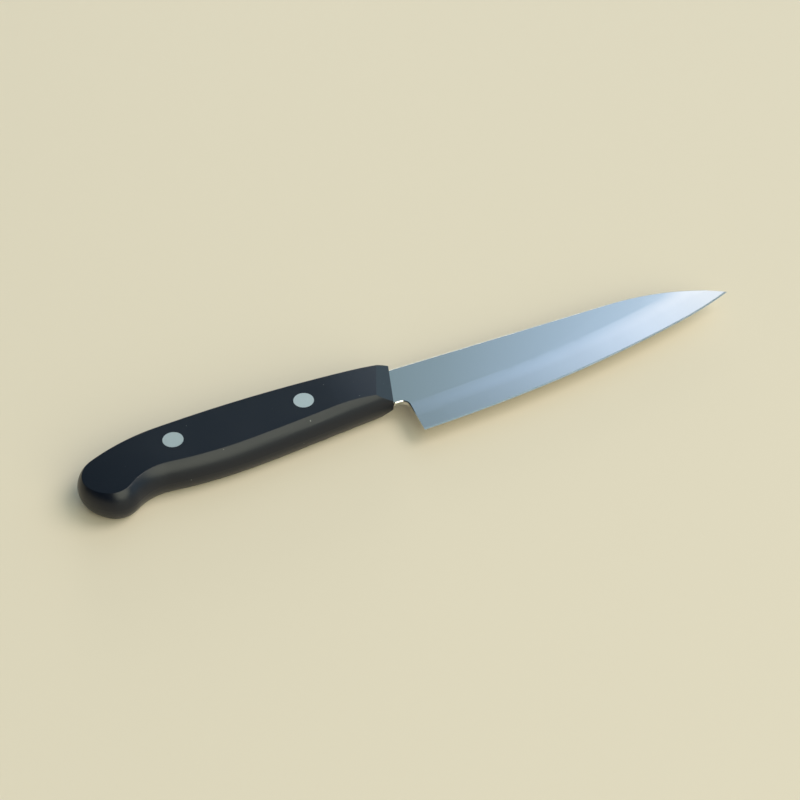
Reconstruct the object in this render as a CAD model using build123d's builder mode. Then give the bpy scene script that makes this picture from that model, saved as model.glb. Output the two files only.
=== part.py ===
from build123d import *
from math import atan2, degrees
import os

# A paring knife that lies on the left side of its handle: +X runs to the point, +Y from the
# edge to the spine, +Z up through the thickness. The origin is under the middle of the
# knife's length and height, on the surface that it lies on.
# The sketches count from a datum: along from the heel line, where the blade's full height
# begins, towards the point, and up from the straight line of the spine.

# Blade, in millimetres
blade_reach = 119.4
heel_depth = 28.1
tip_drop = 9.75
straight_spine = 80.0
neck_height = 14.5
choil_radius = 2.3
blade_thickness = 1.8
rim_chamfer = 0.3

# The edge is one long arc up to these shares of the reach and of the heel's depth, and a
# tighter arc from there to the tip; at the heel it climbs by this share of its run
belly_end_shares = (0.82, 0.577)
heel_climb_share = 0.021

# Ground sides of the blade
grind_width = 9.6
grind_blend_radius = 95.0
blend_rise = 0.02
shoulder_thickness = 0.3
bevel_width = 0.6

# Tang
root_length = 1.7
shoulder_length = 3.0
tang_height = 10.0
tang_end_height = 7.5
tang_tail = 8.0
tang_end_radius = 3.0

# Handle, with its slant in degrees
front_gap = 2.2
front_slant = 17.8
handle_length = 100.4
handle_thickness = 12.8
grip_height = 16.8
side_bulge = 3.05
front_thickness = 3.6
facet_length = 7.0

# The flat sides run past the rivet heads by these margins, then curve in towards each other
front_flat_margin = 3.6
rear_flat_margin = 0.6
front_crown_radius = 110.0
rear_crown_radius = 245.0
crown_rise = 0.02

# Points where one arc of the flat side's outline passes into the next, from the front of the
# belly round the butt to the front of the back: the share of the handle's length behind its
# front, and the share of the grip's height above the spine's line
side_shares = (
    (-0.045, -0.664),
    (0.197, -0.784),
    (0.492, -0.953),
    (0.758, -0.918),
    (0.891, -1.125),
    (0.954, -1.137),
    (0.996, -0.841),
    (0.965, -0.353),
    (0.753, -0.022),
    (0.394, 0.038),
    (-0.065, -0.146),
)
# The first arc sets off towards this point
first_aim_shares = (0, -0.678)

# Rivets
rivet_depth = 7.2
front_rivet_setback = 29.5
rivet_spacing = 42.5
rivet_head_diameter = 6.35
rivet_head_thickness = 1.6
socket_diameter = 4.0
socket_floor_thickness = 1.9
post_diameter = 3.0
post_tip_chamfer = 0.4
post_end_gap = 0.3
socket_end_gap = 0.5

# Clearances, each on one side
pocket_clearance = 0.1
rivet_head_clearance = 0.02
socket_clearance = 0.05
tang_hole_clearance = 0.1

# One overrun for every cut and every solid that runs out of another
overrun = 5.0

# Places that follow from the sizes
mid_height = handle_thickness / 2
half_blade = blade_thickness / 2
front_rivet_x = -front_gap - front_rivet_setback
rear_rivet_x = front_rivet_x - rivet_spacing
rivet_places = ((front_rivet_x, -rivet_depth), (rear_rivet_x, -rivet_depth))
tang_end = rear_rivet_x - tang_tail
butt_end = -front_gap - handle_length - side_bulge
back_top = grip_height * max(rise for back, rise in side_shares) + side_bulge
datum_x = -(blade_reach + butt_end) / 2
datum_y = (heel_depth - back_top) / 2
mid_plane = Plane(origin=(datum_x, datum_y, mid_height))
back_plane = Plane(mid_plane.origin, x_dir=(1, 0, 0), z_dir=(0, -1, 0))
up = Vector(0, 0, 1)


def side_point(shares):
    return (-front_gap - shares[0] * handle_length, shares[1] * grip_height)


# Edge of the blade from the side, run on back past the tang and forward past the tip
bar_back = tang_end - overrun
belly_end = (belly_end_shares[0] * blade_reach, -belly_end_shares[1] * heel_depth)
heel_run = Vector(1, heel_climb_share)

with BuildLine() as edge_line:
    Line((bar_back, -heel_depth + bar_back * heel_climb_share), (0, -heel_depth))
    belly_arc = TangentArc((0, -heel_depth), belly_end, tangent=heel_run)
    tip_arc = TangentArc(belly_end, (blade_reach, -tip_drop), tangent=belly_arc % 1)
    JernArc(
        start=tip_arc @ 1,
        tangent=tip_arc % 1,
        radius=tip_arc.radius,
        arc_size=degrees(overrun / tip_arc.radius),
    )

# Section across the edge: the bevel, and the ground sides with the start of their blend
edge_path = mid_plane * edge_line.line
edge_run = edge_path % 0
bar_top = heel_depth + 2 * overrun
half_shoulder = shoulder_thickness / 2
grind_slope = (half_blade - half_shoulder) / (grind_width - bevel_width)
ridge_across = grind_width + blend_rise / grind_slope
ridge_height = half_blade + blend_rise

with BuildPart() as ground_bar:
    with BuildSketch(Plane(edge_path @ 0, x_dir=up.cross(edge_run), z_dir=edge_run)):
        with BuildLine():
            Polyline(
                (0, 0),
                (bevel_width, half_shoulder),
                (ridge_across, ridge_height),
                (bar_top, ridge_height),
                (bar_top, -ridge_height),
                (ridge_across, -ridge_height),
                (bevel_width, -half_shoulder),
                close=True,
            )
        section = make_face()
        fillet(section.vertices().group_by(Axis.X)[2], radius=grind_blend_radius)
    sweep(path=edge_path)

# The spine from the side: level, then one arc that turns down to the tip
neck_back = -front_gap - root_length
tang_front = neck_back - shoulder_length
arc_reach = blade_reach - straight_spine
spine_radius = (arc_reach**2 + tip_drop**2) / (2 * tip_drop)
spine_turn = 2 * degrees(atan2(tip_drop, arc_reach)) + degrees(overrun / spine_radius)

with BuildLine() as spine_line:
    Line((neck_back, 0), (straight_spine, 0))
    JernArc(
        start=(straight_spine, 0), tangent=(1, 0), radius=spine_radius, arc_size=-spine_turn
    )

# The blade from the side, with its heel, its neck and its tang; it runs past the edge
past_tip = spine_line.line @ 1
past_edge = -heel_depth - overrun

with BuildSketch(mid_plane) as blade_outline:
    with BuildLine():
        add(spine_line.line)
        Polyline(
            past_tip,
            (past_tip.X, past_edge),
            (0, past_edge),
            (0, -neck_height),
            (neck_back, -neck_height),
            (tang_front, -tang_height / 2 - rivet_depth),
            (tang_end, -tang_end_height / 2 - rivet_depth),
            (tang_end, tang_end_height / 2 - rivet_depth),
            (tang_front, tang_height / 2 - rivet_depth),
            (neck_back, 0),
        )
    make_face()
    fillet(blade_outline.vertices().sort_by_distance((0, -neck_height))[0], radius=choil_radius)
    fillet(blade_outline.vertices().group_by(Axis.X)[0], radius=tang_end_radius)

with BuildPart() as blade:
    extrude(blade_outline.sketch, amount=half_blade, both=True)
    chamfer(blade.faces().filter_by(Axis.Z).edges(), length=rim_chamfer)
    add(ground_bar.part, mode=Mode.INTERSECT)
    with BuildSketch(mid_plane):
        with Locations(*rivet_places):
            Circle(socket_diameter / 2 + tang_hole_clearance)
    extrude(amount=handle_thickness, both=True, mode=Mode.SUBTRACT)

# Handle from the side: the outline of its flat sides, open in front, where it is cut off
side_points = [Vector(*side_point(shares)) for shares in side_shares]
heading = Vector(*side_point(first_aim_shares)) - side_points[0]

with BuildLine() as side_line:
    for arc_start, arc_end in zip(side_points, side_points[1:]):
        side_arc = TangentArc(arc_start, arc_end, tangent=heading)
        heading = side_arc % 1

# Where the flat sides end and their crowns begin, seen from the edge: the start, the radius,
# how far the crown reaches along the handle, and which way it runs
crown_top = mid_height + crown_rise
front_crown_start = front_rivet_x + rivet_head_diameter / 2 + front_flat_margin
rear_crown_start = rear_rivet_x - rivet_head_diameter / 2 - rear_flat_margin
crowns = (
    (front_crown_start, front_crown_radius, overrun - front_crown_start, 1),
    (rear_crown_start, rear_crown_radius, overrun + rear_crown_start - butt_end, -1),
)

# The slanted front with its two facets, seen along the front
side_path = mid_plane * side_line.line
side_run = side_path % 0
facet_slope = (handle_thickness - front_thickness) / 2 / facet_length
facet_side = front_thickness / 2 + facet_slope * (facet_length + overrun)
front_way = Vector(0, 1).rotate(Axis.Z, -front_slant)
front_middle = mid_plane.from_local_coords(Vector(-front_gap, -rivet_depth))
front_plane = Plane(front_middle, x_dir=up.cross(front_way), z_dir=front_way)

with BuildPart() as handle:
    with BuildSketch(mid_plane):
        with BuildLine():
            add(side_line.line)
            Line(side_points[-1], side_points[0])
        make_face()
    extrude(amount=mid_height, both=True)
    with BuildSketch(Plane(side_path @ 0, x_dir=up.cross(side_run), z_dir=side_run)):
        with BuildLine():
            Polyline(
                (0, mid_height),
                (-side_bulge, mid_height),
                (-side_bulge, -mid_height),
                (0, -mid_height),
            )
            ThreePointArc((0, -mid_height), (side_bulge, 0), (0, mid_height))
        make_face()
    sweep(path=side_path)
    with BuildSketch(back_plane):
        for crown_start, crown_radius, crown_reach, way in crowns:
            with BuildLine():
                crown_arc = JernArc(
                    start=(crown_start, crown_top),
                    tangent=(way, 0),
                    radius=crown_radius,
                    arc_size=-way * degrees(crown_reach / crown_radius),
                )
                Polyline(
                    crown_arc @ 1,
                    ((crown_arc @ 1).X, crown_top + overrun),
                    (crown_start, crown_top + overrun),
                    (crown_start, crown_top),
                )
            make_face()
        mirror(about=Plane.XZ)
    extrude(amount=2 * grip_height, both=True, mode=Mode.SUBTRACT)
    with BuildSketch(front_plane):
        with BuildLine():
            Polyline(
                (0, front_thickness / 2),
                (facet_length + overrun, facet_side),
                (-2 * overrun, facet_side),
                (-2 * overrun, -facet_side),
                (facet_length + overrun, -facet_side),
                (0, -front_thickness / 2),
                close=True,
            )
        make_face()
    extrude(amount=2 * grip_height, both=True, mode=Mode.SUBTRACT)
    with BuildSketch(mid_plane):
        add(blade_outline.sketch_local)
        offset(amount=pocket_clearance, kind=Kind.INTERSECTION)
    extrude(amount=half_blade, both=True, mode=Mode.SUBTRACT)
    with BuildSketch(mid_plane):
        with Locations(*rivet_places):
            Circle(socket_diameter / 2 + socket_clearance)
    extrude(amount=handle_thickness, both=True, mode=Mode.SUBTRACT)

# The handle's two sides meet in the middle, and each is bored for its rivet heads
right_flat = mid_plane.offset(mid_height)
left_flat = mid_plane.offset(-mid_height)

with BuildPart() as right_scale:
    add(handle.part)
    split(bisect_by=mid_plane, keep=Keep.TOP)
    with BuildSketch(right_flat):
        with Locations(*rivet_places):
            Circle(rivet_head_diameter / 2 + rivet_head_clearance)
    extrude(amount=-rivet_head_thickness, mode=Mode.SUBTRACT)

with BuildPart() as left_scale:
    add(handle.part)
    split(bisect_by=mid_plane, keep=Keep.BOTTOM)
    with BuildSketch(left_flat):
        with Locations(*rivet_places):
            Circle(rivet_head_diameter / 2 + rivet_head_clearance)
    extrude(amount=rivet_head_thickness, mode=Mode.SUBTRACT)

blade.part.label = "blade"
right_scale.part.label = "right_scale"
left_scale.part.label = "left_scale"

os.makedirs("parts", exist_ok=True)
export_step(blade.part, "parts/blade.step")
export_step(right_scale.part, "parts/right_scale.step")
export_step(left_scale.part, "parts/left_scale.step")

# Each rivet is a socket from the left, through the tang, and a post pressed into it from the
# right; both heads lie flush with the flat sides
bore_plane = left_flat.offset(socket_floor_thickness)
socket_length = handle_thickness - rivet_head_thickness - socket_end_gap
post_length = handle_thickness - socket_floor_thickness - post_end_gap

for rivet, rivet_place in zip(("front_rivet", "rear_rivet"), rivet_places):
    with BuildPart() as socket:
        with BuildSketch(left_flat):
            with Locations(rivet_place):
                Circle(rivet_head_diameter / 2)
        extrude(amount=rivet_head_thickness)
        with BuildSketch(left_flat):
            with Locations(rivet_place):
                Circle(socket_diameter / 2)
        extrude(amount=socket_length)
        with BuildSketch(bore_plane):
            with Locations(rivet_place):
                Circle(post_diameter / 2)
        extrude(amount=handle_thickness, mode=Mode.SUBTRACT)
    socket.part.label = rivet + "_socket"
    export_step(socket.part, "parts/" + socket.part.label + ".step")

    with BuildPart() as post:
        with BuildSketch(right_flat):
            with Locations(rivet_place):
                Circle(rivet_head_diameter / 2)
        extrude(amount=-rivet_head_thickness)
        with BuildSketch(right_flat):
            with Locations(rivet_place):
                Circle(post_diameter / 2)
        extrude(amount=-post_length)
        chamfer(post.edges().group_by(Axis.Z)[0], length=post_tip_chamfer)
    post.part.label = rivet + "_post"
    export_step(post.part, "parts/" + post.part.label + ".step")
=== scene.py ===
# %% [markdown]
# # A paring knife
#
# The knife lies on its side on a pale floor: a thin satin blade, a dark moulded handle with a beak
# at its butt, and two steel rivets that hold both sides of the handle to the blade's tang.
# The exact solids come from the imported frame. This lesson gives them what a drawing leaves out:
# edges that are a little round, as every moulded or ground edge is, and the finish of each surface.

# %% Load the frame
from math import cos, pi, radians, sin

import bmesh
import bpy
from mathutils import Matrix, Vector


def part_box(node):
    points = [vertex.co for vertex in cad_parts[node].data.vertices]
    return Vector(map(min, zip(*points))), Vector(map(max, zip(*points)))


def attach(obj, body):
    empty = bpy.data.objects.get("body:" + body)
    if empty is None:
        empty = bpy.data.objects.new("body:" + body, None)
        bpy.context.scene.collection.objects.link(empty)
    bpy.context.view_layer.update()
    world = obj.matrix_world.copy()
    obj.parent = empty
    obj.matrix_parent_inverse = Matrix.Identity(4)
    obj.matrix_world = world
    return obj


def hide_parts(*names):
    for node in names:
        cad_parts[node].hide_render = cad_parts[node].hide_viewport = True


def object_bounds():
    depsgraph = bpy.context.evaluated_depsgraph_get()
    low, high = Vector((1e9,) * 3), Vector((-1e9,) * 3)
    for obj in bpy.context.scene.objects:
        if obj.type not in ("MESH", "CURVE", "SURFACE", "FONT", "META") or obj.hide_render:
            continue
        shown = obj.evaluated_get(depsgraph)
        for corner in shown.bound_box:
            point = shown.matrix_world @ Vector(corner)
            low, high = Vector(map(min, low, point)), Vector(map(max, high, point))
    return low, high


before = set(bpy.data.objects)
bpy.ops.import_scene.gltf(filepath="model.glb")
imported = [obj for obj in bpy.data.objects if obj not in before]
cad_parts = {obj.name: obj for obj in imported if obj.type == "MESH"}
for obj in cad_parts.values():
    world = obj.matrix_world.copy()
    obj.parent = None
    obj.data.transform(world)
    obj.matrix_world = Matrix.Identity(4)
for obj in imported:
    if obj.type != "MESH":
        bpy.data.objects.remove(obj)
cad_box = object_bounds()
millimetre = 0.001
print("nodes:", ", ".join(sorted(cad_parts)))

# %% [markdown]
# ## The camera
#
# The photograph looks down at the knife from the side of its edge, at a bit under half a right
# angle, through a long lens. A long lens keeps the handle and the point at nearly the same scale.
# A Track To constraint could aim the camera, but this view also has a small roll, so the camera's
# turn is built from three plain rotations: tilt, heading and roll.

# %% Place the camera
camera_place = Vector((-0.18465, -0.38513, 0.4201))
look_down = radians(44.385)
heading = radians(-24.62)
roll = radians(0.72)
sensor_width = 36.0
focal_length = 84.87
nearest_view = 0.01

lens = bpy.data.cameras.new("camera")
lens.sensor_width = sensor_width
lens.lens = focal_length
lens.clip_start = nearest_view
camera = bpy.data.objects.new("camera", lens)
bpy.context.scene.collection.objects.link(camera)
turn = Matrix.Rotation(heading, 4, "Z") @ Matrix.Rotation(pi / 2 - look_down, 4, "X")
camera.matrix_world = Matrix.Translation(camera_place) @ turn @ Matrix.Rotation(roll, 4, "Z")
bpy.context.scene.camera = camera
print("camera looks along", camera.matrix_world.to_quaternion() @ Vector((0, 0, -1)))

# %% [markdown]
# ## Shader maths as Python
#
# A material is a graph of nodes. Drawing the graph by hand hides the formula in it, so a small
# class wraps a socket and lets plain Python operators add the Math nodes. Any other node comes
# from one method, which takes the node's type, its settings and the values of its sockets.


# %% A wrapper for sockets
class Link:
    def __init__(self, graph, socket):
        self.graph = graph
        self.socket = socket

    def math(self, operation, *values):
        return self.graph.node("ShaderNodeMath", {"operation": operation}, values)

    def __add__(self, other):
        return self.math("ADD", self, other)

    def __radd__(self, other):
        return self.math("ADD", other, self)

    def __sub__(self, other):
        return self.math("SUBTRACT", self, other)

    def __rsub__(self, other):
        return self.math("SUBTRACT", other, self)

    def __mul__(self, other):
        return self.math("MULTIPLY", self, other)

    def __rmul__(self, other):
        return self.math("MULTIPLY", other, self)

    def __truediv__(self, other):
        return self.math("DIVIDE", self, other)

    def clip(self):
        return self.math("MINIMUM", self.math("MAXIMUM", self, 0.0), 1.0)

    def ramp(self, low, high):
        return ((self - low) / (high - low)).clip()


# %% A wrapper for node trees
class Graph:
    def __init__(self, owner, shader, place):
        owner.use_nodes = True
        self.owner = owner
        self.tree = owner.node_tree
        self.shader = self.tree.nodes[shader]
        self.place = self.node("ShaderNodeTexCoord", {}, {}, place)

    def node(self, kind, settings, values, output=0):
        made = self.tree.nodes.new(kind)
        for setting, value in settings.items():
            setattr(made, setting, value)
        items = values.items() if isinstance(values, dict) else enumerate(values)
        for key, value in items:
            self.feed(made.inputs[key], value)
        return Link(self, made.outputs[output])

    def feed(self, socket, value):
        if isinstance(value, Link):
            self.tree.links.new(value.socket, socket)
        else:
            socket.default_value = value

    def surface(self, **values):
        for key, value in values.items():
            self.feed(self.shader.inputs[key.replace("_", " ")], value)

    def noise(self, scale, detail, stretch=(1, 1, 1)):
        place = self.node("ShaderNodeMapping", {}, {"Vector": self.place, "Scale": stretch})
        values = {"Vector": place, "Scale": scale, "Detail": detail}
        return self.node("ShaderNodeTexNoise", {}, values)

    def bump(self, height, distance, strength):
        values = {"Height": height, "Distance": distance, "Strength": strength}
        return self.node("ShaderNodeBump", {}, values)

    # A Mix node lists its sockets for numbers, then for vectors, then for colours. Its factor is
    # socket 0, the two colours are sockets 6 and 7, and the mixed colour is output 2.
    def blend(self, share, first, second):
        values = {0: share, 6: first, 7: second}
        return self.node("ShaderNodeMix", {"data_type": "RGBA"}, values, 2)


def new_finish(name):
    return Graph(bpy.data.materials.new(name), "Principled BSDF", "Object")


print("shader helpers ready")

# %% [markdown]
# ## The floor
#
# The knife lies on a plain pale floor. A curved studio sweep would do as well, but every view looks
# down on the knife, so one flat sheet is enough if it is far wider than the view.

# %% Lay the floor
floor_size = 12.0
floor_colour = (0.74, 0.64, 0.50, 1.0)
floor_roughness = 0.6

floor_mesh = bpy.data.meshes.new("floor")
sheet = bmesh.new()
bmesh.ops.create_grid(sheet, x_segments=1, y_segments=1, size=floor_size / 2)
sheet.to_mesh(floor_mesh)
sheet.free()
floor = bpy.data.objects.new("floor", floor_mesh)
bpy.context.scene.collection.objects.link(floor)
floor_finish = new_finish("floor_finish")
floor_finish.surface(Base_Color=floor_colour, Roughness=floor_roughness)
floor_mesh.materials.append(floor_finish.owner)
print("floor", floor_size, "m wide")

# %% [markdown]
# ## The room's light
#
# Steel shows little but what it mirrors, so the room matters as much as the metal. An image of a
# room could be mirrored, but a few formulas on the direction give the same soft steps, and each can
# be tuned alone. The sky here is a cool glow that is strongest low behind the knife on the right
# and fades out to the left and upwards. A dot product with the way to the glow gives its share. A
# faint even light straight above keeps the steel from going black in views from above.

# %% Make the sky
sky_colour = (0.68, 0.98, 1.14)
shade_level = 0.05
glow_level = 0.70
glow_azimuth = radians(20)
low_gain = 1.75
rise_loss = 1.1
overhead_level = 0.3
overhead = (0.82, 0.88)
up = (0.0, 0.0, 1.0)

sky = Graph(bpy.data.worlds.new("sky"), "Background", "Generated")


def share_towards(way):
    return sky.node("ShaderNodeVectorMath", {"operation": "DOT_PRODUCT"}, (sky.place, way), "Value")


def light(colour, share):
    values = {"Vector": colour, "Scale": share}
    return sky.node("ShaderNodeVectorMath", {"operation": "SCALE"}, values)


def both(first, second):
    return sky.node("ShaderNodeVectorMath", {"operation": "ADD"}, (first, second))


height = share_towards(up)
facing = share_towards((cos(glow_azimuth), sin(glow_azimuth), 0.0))
low_sky = low_gain - rise_loss * height
above = overhead_level * height.ramp(*overhead)
glow = light(sky_colour, shade_level + glow_level * facing.clip() * low_sky + above)
print("sky level from", shade_level, "to", shade_level + glow_level * low_gain)

# %% [markdown]
# ## The window
#
# The blade mirrors the top left corner of a window with thin curtains: the tone of its flat rises
# towards the point, and its ground side, which leans a little more, is brightest just below the
# ridge and duller near the edge, where it already looks over the window's top. An area lamp has
# hard sides, which steel shows at once, so the window is painted into the sky. A soft side is a
# ramp on a dot product: the way that stands square to the window's side gives the distance from
# it. The window also fades out to the right and down towards its sill. A second, bluer pane that
# reaches a little past the first is the daylight that scatters in the curtains.

# %% Hang the window
window_edge = radians(51.4)
window_softness = 0.03
window_top = (0.767, 0.669)
window_colour = (1.22, 0.72, 0.02)
haze_edge = radians(57.2)
haze_softness = 0.09
haze_top = (0.786, 0.764)
haze_colour = (0.69, 0.94, 1.52)
far_edge = radians(40)
sill = (0.30, 0.75)


def pane(edge, softness, top):
    near = share_towards((sin(edge), -cos(edge), 0.0)).ramp(-softness, softness)
    far = share_towards((-sin(far_edge), cos(far_edge), 0.0)).ramp(-haze_softness, haze_softness)
    return near * far * height.ramp(*top) * height.ramp(*sill)


window = light(window_colour, pane(window_edge, window_softness, window_top))
haze = light(haze_colour, pane(haze_edge, haze_softness, haze_top))
sky.feed(sky.shader.inputs["Color"], both(glow, both(window, haze)))
bpy.context.scene.world = sky.owner
print("window colour", window_colour, "and haze colour", haze_colour)

# %% [markdown]
# ## Soft boxes
#
# Three round soft boxes do the rest, each a flat lamp that hangs eight metres away and faces the
# knife. The front box draws the long highlight on the belly of the handle, the back box lights the
# rims that face away, and the key box lights the floor. The colour is the brightness that a mirror
# would show, from which the lamp's power follows.

# %% Hang the soft boxes
lamp_distance = 8.0
soft_boxes = {
    "front_box": {"azimuth": -80, "rise": 34, "wide": 8.5, "colour": (3.1, 3.15, 2.5)},
    "back_box": {"azimuth": 72, "rise": 10, "wide": 2.8, "colour": (4.6, 4.3, 3.7)},
    "key_box": {"azimuth": -15, "rise": 52, "wide": 5.2, "colour": (4.7, 4.4, 4.0)},
}

for name, box in soft_boxes.items():
    lamp = bpy.data.lights.new(name, "AREA")
    lamp.shape = "DISK"
    lamp.size = box["wide"]
    lamp.energy = pi * pi * (box["wide"] / 2) ** 2
    lamp.color = box["colour"]
    azimuth = radians(box["azimuth"])
    rise = radians(box["rise"])
    way = Vector((cos(azimuth) * cos(rise), sin(azimuth) * cos(rise), sin(rise)))
    to_knife = way.to_track_quat("Z", "Y")
    lamp_object = bpy.data.objects.new(name, lamp)
    bpy.context.scene.collection.objects.link(lamp_object)
    lamp_object.matrix_world = Matrix.LocRotScale(way * lamp_distance, to_knife, None)
bpy.context.scene.view_settings.view_transform = "Standard"
print("soft boxes:", ", ".join(soft_boxes))

# %% [markdown]
# ## Plastic of the handle
#
# The handle is moulded from a nearly black plastic. Its colour is so deep that most of what the
# eye sees is a faint mirror of the room, so the work is in the roughness: a fine grain from the
# mould, a slow cloud in the sheen where hands have polished it, and a few specks of pale dust.
# All of it is noise that reads Object coordinates. A flat picture of scratches would be stretched
# on the rounded sides, and noise in space isn't.

# %% Mix the plastic
plastic = new_finish("moulded_plastic")
plastic_sheen = 0.4
plastic_roughness = 0.27
cloud_roughness = 0.08
mottle_roughness = 0.06
grain_depth = 0.008 * millimetre
grain_strength = 0.8

cloud = plastic.noise(scale=90.0, detail=3.0)
mottle = plastic.noise(scale=900.0, detail=2.0)
grain = plastic.noise(scale=4000.0, detail=2.0)
plastic.surface(
    Roughness=plastic_roughness + cloud_roughness * cloud + mottle_roughness * mottle,
    Specular_IOR_Level=plastic_sheen,
    Normal=plastic.bump(grain + mottle, grain_depth, grain_strength),
)
print("plastic grain", grain_depth, "m deep")

# %% Colour and dust on the plastic
deep_black = (0.0008, 0.0026, 0.0085, 1)
worn_black = (0.0018, 0.0036, 0.0095, 1)
dust_colour = (0.45, 0.46, 0.44, 1)
dust_cover = 0.3
fleck_edge = (0.88, 0.90)

flecks = plastic.noise(scale=1400.0, detail=0.0)
dust = flecks.ramp(*fleck_edge)
black = plastic.blend(cloud, deep_black, worn_black)
plastic.surface(Base_Color=plastic.blend(dust_cover * dust, black, dust_colour))
print("dust covers", dust_cover, "of the plastic's colour in each fleck")

# %% [markdown]
# ## Steel of the blade
#
# The blade was ground and then brushed from the spine towards the edge. The lines are far finer
# than a pixel, and still they decide how the steel looks, because they spread the mirrored window
# to the left and right. The Anisotropic setting could stretch the mirror image too, but it needs
# tangents on the mesh. Here the lines are a noise that is stretched along the strokes and used as
# a bump, with a little of it in the roughness. A slow cloud stands for uneven pressure and wiping
# marks.

# %% Brush the steel
steel = new_finish("brushed_steel")
steel_colour = (0.64, 0.63, 0.59, 1)
dull_steel = (0.61, 0.61, 0.59, 1)
steel_roughness = 0.14
smear_roughness = 0.05
stroke_roughness = 0.04
stroke_depth = 0.002 * millimetre
stroke_strength = 0.6

strokes = steel.noise(scale=9000.0, detail=2.0, stretch=(1, 0.02, 0.02))
smears = steel.noise(scale=60.0, detail=3.0, stretch=(1, 0.5, 1))
steel.surface(
    Base_Color=steel.blend(smears, steel_colour, dull_steel),
    Metallic=1.0,
    Roughness=steel_roughness + smear_roughness * smears + stroke_roughness * strokes,
    Normal=steel.bump(strokes, stroke_depth, stroke_strength),
)
print("steel strokes", stroke_depth, "m deep")

# %% [markdown]
# ## Steel of the rivets
#
# The rivet heads were ground flush together with the handle, in strokes along it, and left duller
# than the blade. The same kind of stretched noise gives the strokes, turned to run along the
# handle, and a second noise gives the faint stains of age.

# %% Grind the rivets
rivet_steel = new_finish("ground_steel")
bright_rivet = (0.69, 0.72, 0.68, 1)
dull_rivet = (0.62, 0.66, 0.63, 1)
rivet_roughness = 0.40
scratch_roughness = 0.10
scratch_depth = 0.003 * millimetre
scratch_strength = 0.5

scratches = rivet_steel.noise(scale=5000.0, detail=3.0, stretch=(0.04, 1, 1))
tarnish = rivet_steel.noise(scale=700.0, detail=2.0)
rivet_steel.surface(
    Base_Color=rivet_steel.blend(tarnish, bright_rivet, dull_rivet),
    Metallic=1.0,
    Roughness=rivet_roughness + scratch_roughness * scratches,
    Normal=rivet_steel.bump(scratches, scratch_depth, scratch_strength),
)
print("rivet scratches", scratch_depth, "m deep")

# %% [markdown]
# ## Copying a solid and easing its edges
#
# The frame's meshes are exact but every edge on them is razor sharp, and a razor-sharp edge never
# catches the light. A copy is merged into one closed skin, its thin triangles are joined to
# quads, and a small bevel rolls the edges over, as a mould or a polishing wheel would. Where a
# face is truly flat its triangles are dissolved first, because long slivers between a bore and an
# outline would bend the smooth shading into a star.

# %% Helper for copies
weld_distance = 0.001 * millimetre
quad_flatness = radians(1)
quad_squareness = radians(60)


def merged_copy(node, flat_angle):
    skin = bmesh.new()
    skin.from_mesh(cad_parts[node].data)
    bmesh.ops.remove_doubles(skin, verts=skin.verts[:], dist=weld_distance)
    bmesh.ops.dissolve_limit(
        skin,
        angle_limit=flat_angle,
        use_dissolve_boundaries=False,
        verts=skin.verts[:],
        edges=skin.edges[:],
    )
    bmesh.ops.join_triangles(
        skin,
        faces=skin.faces[:],
        angle_face_threshold=quad_flatness,
        angle_shape_threshold=quad_squareness,
    )
    print(node, "copied with", len(skin.faces), "faces")
    return skin


# %% Helpers for edges
roll_segments = 3


def ease_edges(skin, edges, radius):
    bmesh.ops.bevel(
        skin,
        geom=edges,
        offset=radius,
        offset_type="OFFSET",
        segments=roll_segments,
        profile=0.5,
        affect="EDGES",
        clamp_overlap=True,
        material=-1,
    )
    print(len(edges), "edges rolled over by", radius, "m")


def edges_between(skin, low, high):
    return [e for e in skin.edges if e.is_manifold and low < e.calc_face_angle() < high]


# %% Helper for finished pieces
def finish_piece(name, skin, material, node, smooth_angle):
    mesh = bpy.data.meshes.new(name)
    skin.to_mesh(mesh)
    skin.free()
    mesh.shade_smooth()
    mesh.set_sharp_from_angle(angle=smooth_angle)
    mesh.materials.clear()
    mesh.materials.append(material.owner)
    piece = bpy.data.objects.new(name, mesh)
    bpy.context.scene.collection.objects.link(piece)
    weigh = piece.modifiers.new("even_normals", "WEIGHTED_NORMAL")
    weigh.keep_sharp = True
    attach(piece, "root")
    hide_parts(node)
    print(name, len(mesh.polygons), "faces")


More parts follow.
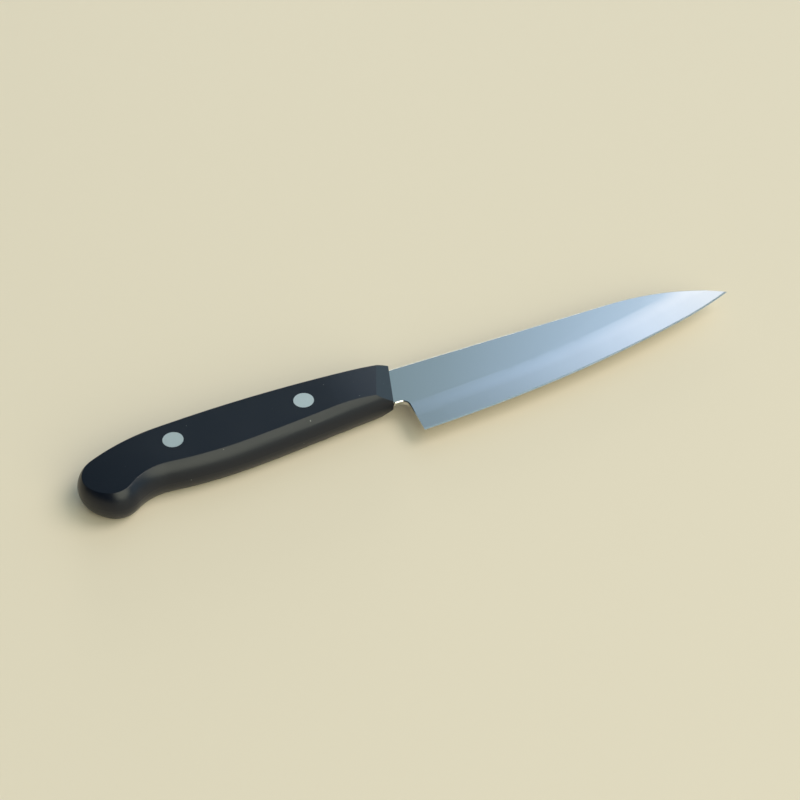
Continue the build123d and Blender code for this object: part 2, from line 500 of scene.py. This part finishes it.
# %% [markdown]
# ## Handle
#
# Both sides of the handle are the same moulding, mirrored. They could be modelled again as a box
# under a Subdivision Surface, but then their outline would drift from the solid's. So the right
# side is a copy of its solid with its outer edges eased, and the left side is the right one
# mirrored about the knife's middle, so that the seam between them closes on every vertex.

# %% Ease the handle's right side
arris_radius = 0.35 * millimetre
crease = radians(20)
square = radians(85)
scale_flatness = radians(0.1)
half_height = (cad_box[0][2] + cad_box[1][2]) / 2
above_seam = half_height + 0.01 * millimetre

skin = merged_copy("right_scale", scale_flatness)
outer = [
    e
    for e in edges_between(skin, crease, square)
    if all(v.co.z > above_seam for v in e.verts)
]
ease_edges(skin, outer, arris_radius)

# %% Mirror it for the left side
smooth_limit = radians(35)

other_skin = skin.copy()
to_middle = Matrix.Translation((0, 0, -half_height))
bmesh.ops.scale(other_skin, vec=(1, 1, -1), space=to_middle, verts=other_skin.verts[:])
bmesh.ops.recalc_face_normals(other_skin, faces=other_skin.faces[:])
finish_piece("right_handle_side", skin, plastic, "right_scale", smooth_limit)
finish_piece("left_handle_side", other_skin, plastic, "left_scale", smooth_limit)

# %% [markdown]
# ## Blade
#
# The blade is left razor sharp at its edge and nowhere else. Its spine, neck and heel have a small
# chamfer in the solid, which is rolled over here into a round rim: that rim is the thin bright
# line which sets the steel off from the floor. A Bevel modifier would dull the cutting edge as
# well, so the rims are picked by the angle between their faces.

# %% Roll the blade's rims
rim_radius = 0.16 * millimetre
chamfer_angles = (radians(35), radians(60))
steel_flatness = radians(0.01)
steel_smooth_limit = radians(6)
handle_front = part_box("right_scale")[1].x

skin = merged_copy("blade", steel_flatness)
rims = [
    e
    for e in edges_between(skin, *chamfer_angles)
    if max(v.co.x for v in e.verts) > handle_front
]
ease_edges(skin, rims, rim_radius)
finish_piece("bare_blade", skin, steel, "blade", steel_smooth_limit)

# %% [markdown]
# ## Rivets
#
# The rivets keep their solids: the head lies flush, its edge is hidden in the plastic, and only
# its ground face shows. They only need the new steel in place of the frame's plain colour.

# %% Dress the rivets
for rivet in ("front_rivet", "rear_rivet"):
    for half in ("post", "socket"):
        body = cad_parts[rivet + "_" + half].data
        body.materials.clear()
        body.materials.append(rivet_steel.owner)
print("rivets dressed")
